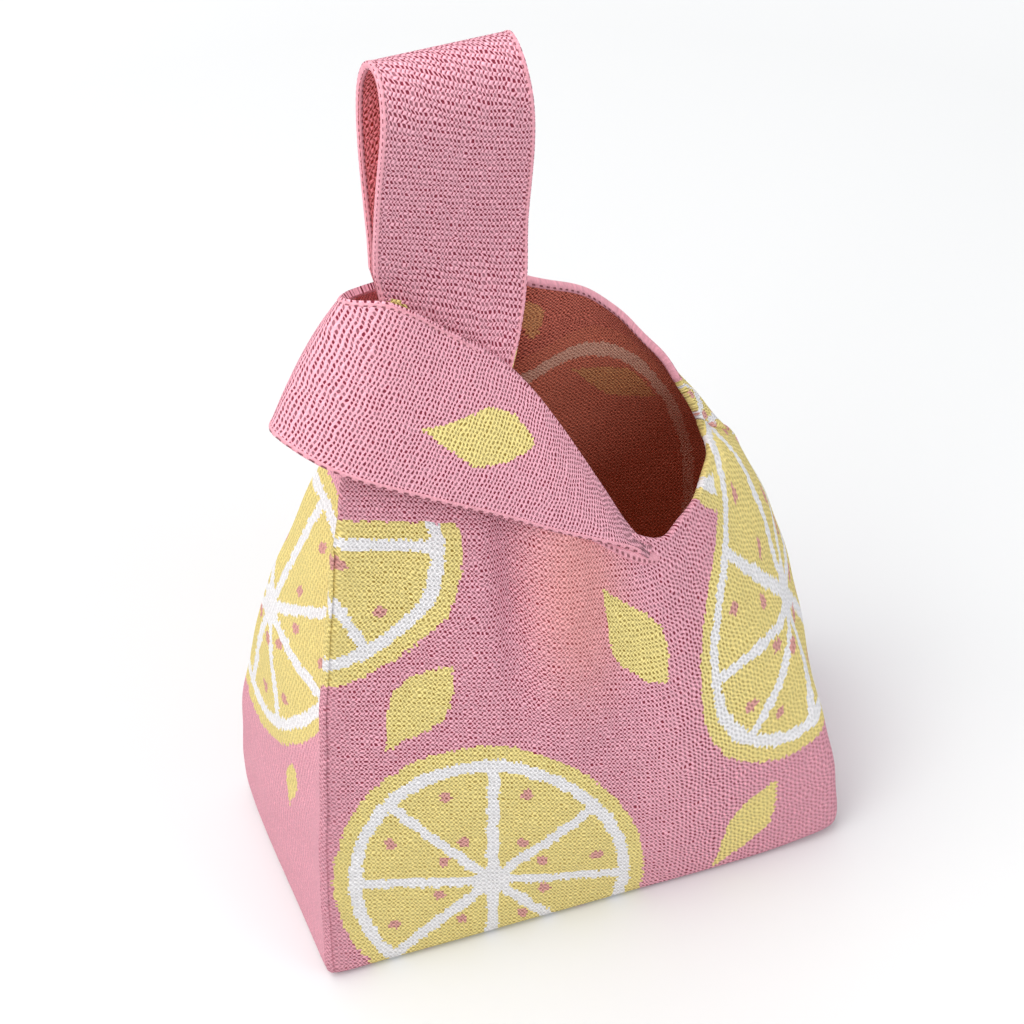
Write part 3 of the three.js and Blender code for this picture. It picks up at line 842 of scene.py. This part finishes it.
# Slices: centre across and up the flat cloth, half width and height, spread, turn, then how far above the
# centre it is cut off and its hub lies. Leaves: centre across and up, half length and width, turn. The
# inside has a faint red painted glow that stands in for daylight through the walls, so it does not go black.
UNCUT = 1.0
SLICES = (
    (-0.0385, 0.0182, 0.058, 0.066, 1.0, 0.0, UNCUT, 0.0),
    (-0.118, 0.165, 0.0652, 0.0609, 1.26, 0.0, 0.0091, 0.0),
    (0.111, 0.19, 0.053, 0.0624, 1.0, 0.0, UNCUT, 0.0),
    (0.1, 0.092, 0.0563, 0.0563, 1.0, -0.24, UNCUT, -0.0077),
    (0.187, 0.163, 0.028, 0.028, 1.0, 0.0, UNCUT, 0.0),
    (0.258, 0.145, 0.05, 0.0565, 1.0, 0.25, UNCUT, 0.0),
    (0.3, 0.042, 0.045, 0.045, 1.0, 0.2, UNCUT, 0.0),
    (0.4117, 0.116, 0.0578, 0.0584, 1.0, -0.05, UNCUT, -0.0085),
)
SMALL_BACK_LEAF = (0.2965, 0.212, 0.013, 0.006, 1.4)
LEAVES = (
    (0.0178, 0.1322, 0.025, 0.0122, -1.04),
    (-0.0668, 0.0983, 0.023, 0.0104, 1.038),
    (0.059, 0.019, 0.019, 0.0105, 0.79),
    (0.23, 0.06, 0.017, 0.009, 2.4),
    SMALL_BACK_LEAF,
    (0.4568, 0.057, 0.011, 0.0044, 1.7),
)
INSIDE_SLICES = ((0.272, 0.1, 0.063, 0.0995, 1.0, 0.25, UNCUT, 0.0),)
INSIDE_LEAVES = ((0.2561, 0.1651, 0.0235, 0.0084, -2.64), SMALL_BACK_LEAF)
POUCH_GAUGE = (0.00167, 0.002, 0.4, 0.0)
patterned = jersey("patterned_knit", POUCH_GAUGE, FACE_TONES, SLICES, LEAVES, over_pouch)
reverse_knit = jersey(
    "reverse_knit", POUCH_GAUGE, REVERSE_TONES, INSIDE_SLICES, INSIDE_LEAVES, spokes=0.0, glow=GLOW
)


def numbers_of(grid):
    """A grid's points numbered in order."""
    return np.arange(grid.shape[0] * grid.shape[1]).reshape(grid.shape[:2])


def new_object(name, points, faces, uv, materials):
    """A smooth mesh object with the place of each face's corners on flat cloth."""
    mesh = bpy.data.meshes.new(name)
    mesh.from_pydata(points.tolist(), [], faces)
    mesh.polygons.foreach_set("use_smooth", np.ones(len(faces), bool))
    layer = mesh.uv_layers.new(name="flat")
    layer.data.foreach_set("uv", uv.astype(np.float32).reshape(-1))
    for material in materials:
        mesh.materials.append(material)
    made = bpy.data.objects.new(name, mesh)
    scene.collection.objects.link(made)
    return made


def shell(name, middle, outward, flat, face, reverse):
    """A cloth with its thickness, closed at its borders. middle and outward are grids of points and unit
    normals, and flat is where each point lies on the cloth laid flat."""
    number = numbers_of(middle)
    count = number.size
    outer = grid_faces(number)
    inner = outer[:, ::-1]
    border = np.concatenate([number[:-1, 0], number[-1, :-1], number[:0:-1, -1], number[0, :0:-1]])
    after = np.roll(border, -1)
    rim = np.stack([border + count, after + count, after, border], -1)
    faces = np.concatenate([outer, inner + count, rim])
    lift = outward * CLOTH / 2
    points = np.concatenate([(middle + lift).reshape(-1, 3), (middle - lift).reshape(-1, 3)])
    uv = flat.reshape(-1, 2)[faces.reshape(-1) % count]
    made = new_object(name, points, faces.tolist(), uv, (face, reverse))
    layers = np.repeat([0, 1, 0], [len(outer), len(inner), len(rim)])
    made.data.polygons.foreach_set("material_index", layers)
    facing = outward.reshape(-1, 3)
    rim_normals = np.repeat(unit(face_normals(points, rim)), 4, axis=0)
    corner_normals = np.concatenate([facing[outer.reshape(-1)], -facing[inner.reshape(-1)], rim_normals])
    made.data.normals_split_custom_set(corner_normals.tolist())
    return made


def area_of(grid):
    """The area of a grid of points."""
    normals = face_normals(grid.reshape(-1, 3), grid_faces(numbers_of(grid)))
    return float(np.linalg.norm(normals, axis=1).sum() / 2)


def on_bag(piece, node):
    """A piece that stays with the pouch."""
    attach(piece, "bag")
    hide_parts(node)


for node in ("base_panel", "front_panel", "back_panel", "left_gusset", "right_gusset"):
    wall = node.split("_")[0]
    grid = shaped[wall]
    panel = shell(node + "_cloth", grid, outward[panels[wall]], flats[wall], patterned, reverse_knit)
    on_bag(panel, node)
    "hung" if wall != "base" else "laid"
    area_of(grid)

# Rolled hems and linked seams of the pouch
# The jersey rolls over at its free edges and is linked down: a smooth round edge with a row of stitches. At
# the two linked corners a low ridge of the same knit stands out.
ROLL_STEP = 0.0006
ROLL_SIDES = 14
ROLL_SQUARENESS = 0.8
LEAST_END = 0.02
SHORT_FADE = (0.002, 0.002)
HEM = (0.003, 0.003)
MOUTH_HEM = (0.0042, 0.003)
SEAM = (0.003, 0.0012)


def evenly(step, path, *others):
    """Resamples a path, and the values that go with it, to even steps."""
    travelled = along(path[:, None], 0)[:, 0]
    at = np.linspace(0, travelled[-1], max(2, round(travelled[-1] / step)))
    return at, [
        np.stack([np.interp(at, travelled, values[:, k]) for k in range(values.shape[1])], 1)
        for values in (path, *others)
    ]


def rounded(wave):
    return np.sign(wave) * np.abs(wave) ** ROLL_SQUARENESS


def rolled_edge(name, edge, size, material, fade=SHORT_FADE, on_cloth=False):
    """A rolled edge or raised seam of a width and thickness, thinning over its two ends. Its flat places run
    along and across it, or are those of the cloth that it is rolled from."""
    travelled, (path, into, out, *cloth) = evenly(ROLL_STEP, *edge)
    into, out = unit(into), unit(out)
    hand = 1 if (np.cross(np.gradient(path, axis=0), out) * into).sum() > 0 else -1
    turn = np.linspace(0, 2 * np.pi, ROLL_SIDES, endpoint=False) * hand
    aside = rounded(np.cos(turn)) * size[0] / 2
    lift = rounded(np.sin(turn)) * size[1] / 2
    ends = np.minimum(travelled / fade[0], (travelled[-1] - travelled) / fade[1])
    swell = np.sqrt(np.clip(ends, LEAST_END, 1))[:, None, None]
    rings = into[:, None] * aside[None, :, None] + out[:, None] * lift[None, :, None]
    rings = path[:, None] + rings * swell
    count = len(path)
    around = np.arange(ROLL_SIDES + 1) % ROLL_SIDES
    quads = grid_faces(np.arange(count)[:, None] * ROLL_SIDES + around[None, :])
    caps = [list(range(ROLL_SIDES))[::-1], list(range((count - 1) * ROLL_SIDES, count * ROLL_SIDES))]
    closed = np.append(aside, aside[0])
    places = np.stack(np.broadcast_arrays(travelled[:, None], closed[None, :]), -1)
    if on_cloth:
        places = cloth[0][:, None] + cloth[1][:, None] * closed[None, :, None]
    corners = grid_faces(numbers_of(places)).reshape(-1)
    uv = np.concatenate([places.reshape(-1, 2)[corners], np.zeros((2 * ROLL_SIDES, 2))])
    return new_object(name, rings.reshape(-1, 3), quads.tolist() + caps, uv, (material,))


HEM_PINK = linear(240, 170, 184)
YARN_SCALE = 900
YARN_LEAST = 0.7
YARN_VARIES = 0.5
STITCH_FADE = (-0.2, 0.5)
STITCH_REACH = 0.00055


def hem_material(name, row, pitch, strength, reach=STITCH_REACH):
    """A smooth linked edge with one row of stitches whose holes are painted dark as shade: how far aside and
    apart, how dark, how wide.
    """
    material, tree, shader, flat = soft_material(name)
    travelled, aside, _ = parts_of(tree, flat)
    wave = (travelled * (2 * math.pi / pitch)).of("COSINE")
    off_row = (aside - row) / reach
    dash = ramp(wave, *STITCH_FADE, 0.0, strength) * (1.0 - off_row * off_row).of("MAXIMUM", 0.0)
    yarn = Value(tree, new_noise(tree, "TexNoise", "2D", Scale=YARN_SCALE, Vector=flat)[0])
    light = shaded(tree, HEM_PINK, yarn * YARN_VARIES + YARN_LEAST)
    # The stitch holes get a deep tone of the hem's colour: painted shade.
    hole_shade = tuple(HOLE_SHADE_SHARE * value ** 3 for value in HEM_PINK[:3]) + (1,)
    cover(tree, shader, mixed(tree, dash, light, hole_shade), yarn - dash, KNIT_DEPTH / 2)
    return material


mouth_knit = hem_material("mouth_hem_knit", -0.0003, 0.003, 0.9, 0.0007)
seam_knit = hem_material("linked_seam_knit", 0.0, 0.003, 0.5)


def edge_of(points, beside, out, flat, flat_beside):
    """What a rolled edge is made from: path, inward and outward directions, place and way on flat cloth."""
    gap = np.linalg.norm(beside - points, axis=1, keepdims=True)
    return points, (beside - points) / gap, out, flat, (flat_beside - flat) / gap


def top_edge(wall, start, end):
    """A panel's top edge, from one share of it to another."""
    columns = len(panels[wall]) - 1
    kept = slice(round(start * columns), round(end * columns) + 1)
    grid, flat = shaped[wall][kept], flats[wall][kept]
    return edge_of(grid[:, -1], grid[:, -2], outward[panels[wall][kept, -1]], flat[:, -1], flat[:, -2])


def corner_edge(wall, rows):
    """A panel's first upright edge, up to a share of its height."""
    last = round(rows * (panels[wall].shape[1] - 1)) + 1
    out = outward[panels[wall][0, :last]]
    grid, flat = shaped[wall][:, :last] + out[None] * CLOTH / 2, flats[wall][:, :last]
    path, into, out, place, flat_into = edge_of(grid[0], grid[1], out, flat[0], flat[1])
    return path, unit(into - (into * out).sum(1, keepdims=True) * out), out, place, flat_into


rim_parts = top_edge("front", 0.58, 1), top_edge("right", 0, 1), top_edge("back", 0, 0.1)
rim_edge = [np.concatenate(values) for values in zip(*rim_parts)]
turned_rim = rolled_edge("mouth_turned_rim", rim_edge, HEM, patterned, on_cloth=True)
on_bag(turned_rim, "mouth_hem")
back_rim = rolled_edge("mouth_back_rim", top_edge("back", 0.09, 0.5), MOUTH_HEM, mouth_knit)
on_bag(back_rim, "mouth_hem")
gusset_hem = rolled_edge("left_gusset_hem_roll", top_edge("left", 0.03, 0.97), HEM, mouth_knit)
on_bag(gusset_hem, "left_gusset_hem")
for node, wall, rows in (("front_left_seam", "front", 0.86), ("back_right_seam", "back", 0.98)):
    ridge = rolled_edge(node + "_ridge", corner_edge(wall, rows), SEAM, patterned, on_cloth=True)
    on_bag(ridge, node)

# Long handle
# One plain strap of the same jersey, sewn to the tops of the front and back panels on the left. It closes
# to a pinch where the short handle is drawn round it, and stands up above that as a wrist loop.
STRAP_WIDTH = 0.05
STRAP_SPREAD = 1.04
STRAP_HEM = (0.0022, 0.0028)
HANDLE_SEAM = (0.005, 0.0042)
HEM_INSET = 0.4
ROOT_TOP_Z = 0.2709
ROOT_HOLLOW = 1.8
ROOT_LEAN = 2.2
ROOT_WAIST = 0.003
NARROWS_FROM = 0.3
NARROWS_BY = 0.105
FRONT_ROOT = (0.01, 0.26)
BACK_ROOT = (0.99, 0.73)
LOOP_LINE = (
    # half opening, height
    (0.0022, 0.2709),
    (0.003, 0.282),
    (0.0064, 0.3),
    (0.0098, 0.317),
    (0.0114, 0.328),
    (0.0112, 0.337),
    (0.008, 0.3448),
    (0.004, 0.3483),
    (0.0, 0.3492),
)
STRAP_ROWS = 112
STRAP_COLUMNS = 27
ROOT_ROWS = 32
strap_share = np.linspace(0, 1, STRAP_COLUMNS)
strap_x = handle_x + (strap_share - 0.5) * STRAP_WIDTH * STRAP_SPREAD


def root_of(start, side):
    """One end of the strap, from the panel's top edge to the pinch: a grid, across and up."""
    level = np.ones(len(strap_x))
    top = np.stack([strap_x, side * LOOP_LINE[0][0] * level, ROOT_TOP_Z * level], 1)
    rise = np.linspace(0, 1, ROOT_ROWS)[None, :]
    grid = mix(start[:, None], top[:, None], rise[..., None])
    grid[..., 1] = top[:, None, 1] + (start - top)[:, None, 1] * (1 - rise) ** ROOT_HOLLOW
    grid[..., 0] = top[:, None, 0] + (start - top)[:, None, 0] * (1 - rise) ** ROOT_LEAN
    grid[..., 0] += ROOT_WAIST * (1 - strap_share)[:, None] * 4 * rise * (1 - rise)
    return grid


half_line = np.array([(-opening, height) for opening, height in LOOP_LINE])
full_line = np.concatenate([half_line, half_line[-2::-1] * (-1, 1)])
steps = along(full_line[:, None], 0)[:, 0]
loop_curve = spline(*[(step / steps[-1], (0, *point)) for step, point in zip(steps, full_line)])
line = loop_curve(np.linspace(0, 1, STRAP_ROWS))
loop_grid = np.broadcast_to(line[None], (len(strap_x), *line.shape)).copy()
above = np.clip((line[:, 2] - NARROWS_FROM) / (line[:, 2].max() - NARROWS_FROM), 0, 1)
loop_grid[..., 0] = handle_x + (strap_x - handle_x)[:, None] * (1 - NARROWS_BY * above ** 2)[None, :]
front_root = root_of(front_top(mix(*FRONT_ROOT, strap_share)), -1)
back_root = root_of(back_top(mix(*BACK_ROOT, strap_share)), 1)[:, ::-1]
strap = np.concatenate([front_root[:, :-1], loop_grid, back_root[:, 1:]], 1)


def grid_normals(grid):
    """Unit normals of a grid of points."""
    return normals_of(grid.reshape(-1, 3), grid_faces(numbers_of(grid))).reshape(grid.shape)


strap_out = grid_normals(strap)
strap_flat = np.stack([along(strap, 0), along(strap, 1)], -1)
STRAP_GAUGE = (0.00142, 0.0026, 0.45, 0.0)
# The strap's reverse is lighter than the pouch's and has a painted glow: partly its own pink, partly painted
# light for the shaded inside of the loop.
STRAP_GLOW = 0.05
STRAP_LEAVES = ((0.048, 0.042, 0.005, 0.0028, 1.2), (0.0057, 0.0512, 0.006, 0.004, 1.9))
STRAP_REVERSE_TONES = (linear(250, 152, 164), *FACE_TONES[1:])
strap_knit = jersey("strap_knit", STRAP_GAUGE, FACE_TONES, leaves=STRAP_LEAVES)
strap_reverse = jersey("strap_reverse", STRAP_GAUGE, STRAP_REVERSE_TONES, glow=STRAP_GLOW)
strap_hem = hem_material("strap_hem_knit", 0.0006, 0.0023, 0.8)


def swings(piece, slot, *nodes):
    """A piece of the long handle: its place is baked into its mesh and the parts it stands for are hidden.
    """
    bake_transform(piece)
    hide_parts(*nodes)


long_strap = shell("long_handle_strap", strap, strap_out, strap_flat, strap_knit, strap_reverse)
swings(long_strap, "plain_knit", "long_handle_front_root", "long_handle_back_root", "long_handle_loop")


def side_edge(grid, out, column, hem, rows=slice(None)):
    """Path, inward and outward directions of a hem along one long edge of a strap."""
    path, beside = grid[column, rows], grid[1 if column == 0 else -2, rows]
    into = unit(beside - path)
    return path + into * hem[0] * HEM_INSET, into, out[column, rows]


for column, node in ((0, "long_handle_left_hem"), (-1, "long_handle_right_hem")):
    edge = side_edge(strap, strap_out, column, STRAP_HEM)
    swings(rolled_edge(node + "_roll", edge, STRAP_HEM, strap_hem), "rolled_hem", node)
for node, wall, start, end in (
    ("long_handle_front_seam", "front", 0, 0.34),
    ("long_handle_back_seam", "back", 0.65, 1),
):
    ridge = rolled_edge(node + "_ridge", top_edge(wall, start, end), HANDLE_SEAM, seam_knit)
    on_bag(ridge, node)

# Short handle
# A wide band of the same jersey, sewn to the back panel. It goes round the left of the long handle and
# comes back across the front, where its end runs into the front edge and its upper edge turns under.
BAND_CROWN = 0.002
BAND_EDGES = (
    # share of the way, then the upper and the lower edge, from the long handle at shoulder height
    (0.14, (0.014, 0.018, 0.022), (-0.003, 0.034, -0.02)),
    (0.29, (-0.012, 0.013, 0.032), (-0.027, 0.03, -0.009)),
    (0.4, (-0.031, 0.006, 0.037), (-0.0485, 0.01, 0.001)),
    (0.45, (-0.0364, -0.001, 0.041), (-0.0622, -0.009, 0.006)),
    (0.49, (-0.0348, -0.007, 0.044), (-0.067, -0.022, 0.01)),
    (0.55, (-0.0237, -0.011, 0.043), (-0.0525, -0.038, 0.003)),
    (0.65, (-0.0078, -0.013, 0.03), (-0.023, -0.042, -0.0145)),
    (0.78, (0.0112, -0.017, 0.012), (0.0017, -0.042, -0.03)),
    (0.88, (0.0242, -0.024, -0.006), (0.0192, -0.042, -0.042)),
    (1, (0.0405, -0.033, -0.038), (0.039, -0.0415, -0.0545)),
    (1.12, (0.049, -0.0355, -0.056), (0.047, -0.041, -0.0605)),
    (1.25, (0.056, -0.0395, -0.0668), (0.055, -0.04, -0.068)),
)
UPPER_JOIN = 0.475
LOWER_JOIN = 0.625
JOIN_RISE = (0, 0, 0.002)
BAND_END = 1.25
BAND_ROWS = 190
BAND_COLUMNS = 27
BAND_NARROWS = 0.5
band_share = np.linspace(0, BAND_END, BAND_ROWS)


def band_line(join, edge):
    """One long edge of the band, from where it joins the back panel."""
    points = [(knot[0], from_handle(*knot[edge])) for knot in BAND_EDGES]
    return spline((0, back_top(join) + JOIN_RISE), *points)


upper, lower = band_line(UPPER_JOIN, 1), band_line(LOWER_JOIN, 2)
width_share = np.linspace(0, 1, BAND_COLUMNS)
band = mix(lower(band_share)[:, None], upper(band_share)[:, None], width_share[None, :, None])
narrowing = np.clip((BAND_END - band_share) / BAND_NARROWS, 0, 1)[:, None, None]
bulge = (4 * width_share * (1 - width_share))[None, :, None]
band = band + grid_normals(band) * BAND_CROWN * bulge * narrowing

# The upper edge turns under along the front: rows that roll round and lie behind the band. Its stitches
# are counted both ways from the middle of its front, and its ribs lean to the right.
TURN_RADIUS = 0.002
TURN_DEPTH = 0.012
TURN_FROM = (0.7, 0.86)
TURN_ENDS = 0.12
TURN_LEAST = (0.04, 0.15)
TURN_ROWS = 12
LENGTH_FROM = 0.65
RIB_LEAN = 0.45
plain_out = grid_normals(band)
edge_out = plain_out[:, -1]
edge_up = unit(band[:, -1] - band[:, -3])
turning = np.clip((band_share - TURN_FROM[0]) / (TURN_FROM[1] - TURN_FROM[0]), TURN_LEAST[0], 1)
turning *= np.clip((BAND_END - band_share) / TURN_ENDS, TURN_LEAST[1], 1)
rolled = np.linspace(0, 1, TURN_ROWS + 1)[1:][None, :] * (turning * TURN_DEPTH)[:, None]
angle = np.minimum(rolled / TURN_RADIUS, np.pi)
back_along = np.maximum(rolled - TURN_RADIUS * np.pi, 0)
turned = (
    band[:, -1:]
    + edge_up[:, None] * (TURN_RADIUS * np.sin(angle) - back_along)[..., None]
    - edge_out[:, None] * (TURN_RADIUS * (1 - np.cos(angle)))[..., None]
)
band_cloth = np.concatenate([band, turned], 1)
band_length, band_width = along(band_cloth, 0), along(band_cloth, 1)
band_from = band_length - band_length[np.searchsorted(band_share, LENGTH_FROM)]
band_flat = np.stack([band_width, band_from - RIB_LEAN * band_width], -1)
BAND_GAUGE = (0.0015, 0.00156, 1.0, 0.3)
BAND_LEAF = (0.0247, 0.005, 0.0235, 0.0105, 1.423)
band_knit = jersey("band_knit", BAND_GAUGE, FACE_TONES, leaves=(BAND_LEAF,))
BAND_HEM = (0.002, 0.003)
LOWER_HEM_END = 1.22
UPPER_HEM_END = 0.8
UPPER_HEM_FADE = (0.002, 0.02)
lower_hem_knit = hem_material("band_lower_hem_knit", -0.0006, 0.0042, 0.9)
upper_hem_knit = hem_material("band_upper_hem_knit", 0.0006, 0.0027, 0.8)


def droops(piece, slot, *nodes):
    """A piece of the short handle: its place is baked into its mesh and the parts it stands for are hidden.
    """
    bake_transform(piece)
    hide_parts(*nodes)


band_out = grid_normals(band_cloth)
short_band = shell("short_handle_band", band_cloth, band_out, band_flat, band_knit, strap_reverse)
droops(short_band, "plain_knit", "short_handle_loop", "short_handle_front_root")
area_of(band_cloth)


def band_edge(row, end):
    """What the hem along one of the band's long edges is made from, up to a share of the way."""
    kept = slice(np.searchsorted(band_share, end))
    return side_edge(band.swapaxes(0, 1), plain_out.swapaxes(0, 1), row, BAND_HEM, kept)


for node, row, end, material, fade in (
    ("short_handle_lower_hem", 0, LOWER_HEM_END, lower_hem_knit, SHORT_FADE),
    ("short_handle_upper_hem", -1, UPPER_HEM_END, upper_hem_knit, UPPER_HEM_FADE),
):
    droops(rolled_edge(node + "_roll", band_edge(row, end), BAND_HEM, material, fade), "rolled_hem", node)
FOLD_OFFSET = (0, -0.0022, -0.0056)
FOLD = (0.0085, 0.0046)
FOLD_FADE = (0.025, 0.018)
fold_knit = hem_material("front_fold_knit", 0.0024, 0.0026, 0.8, 0.0011)
fold_path, *fold_sides = top_edge("front", 0.46, 0.68)
fold_edge = (fold_path + FOLD_OFFSET, *fold_sides)
fold = rolled_edge("short_handle_front_fold_roll", fold_edge, FOLD, fold_knit, FOLD_FADE)
on_bag(fold, "short_handle_front_fold")
back_edge = top_edge("back", 0.46, 0.64)
back_ridge = rolled_edge("short_handle_back_seam_ridge", back_edge, HANDLE_SEAM, seam_knit)
on_bag(back_ridge, "short_handle_back_seam")
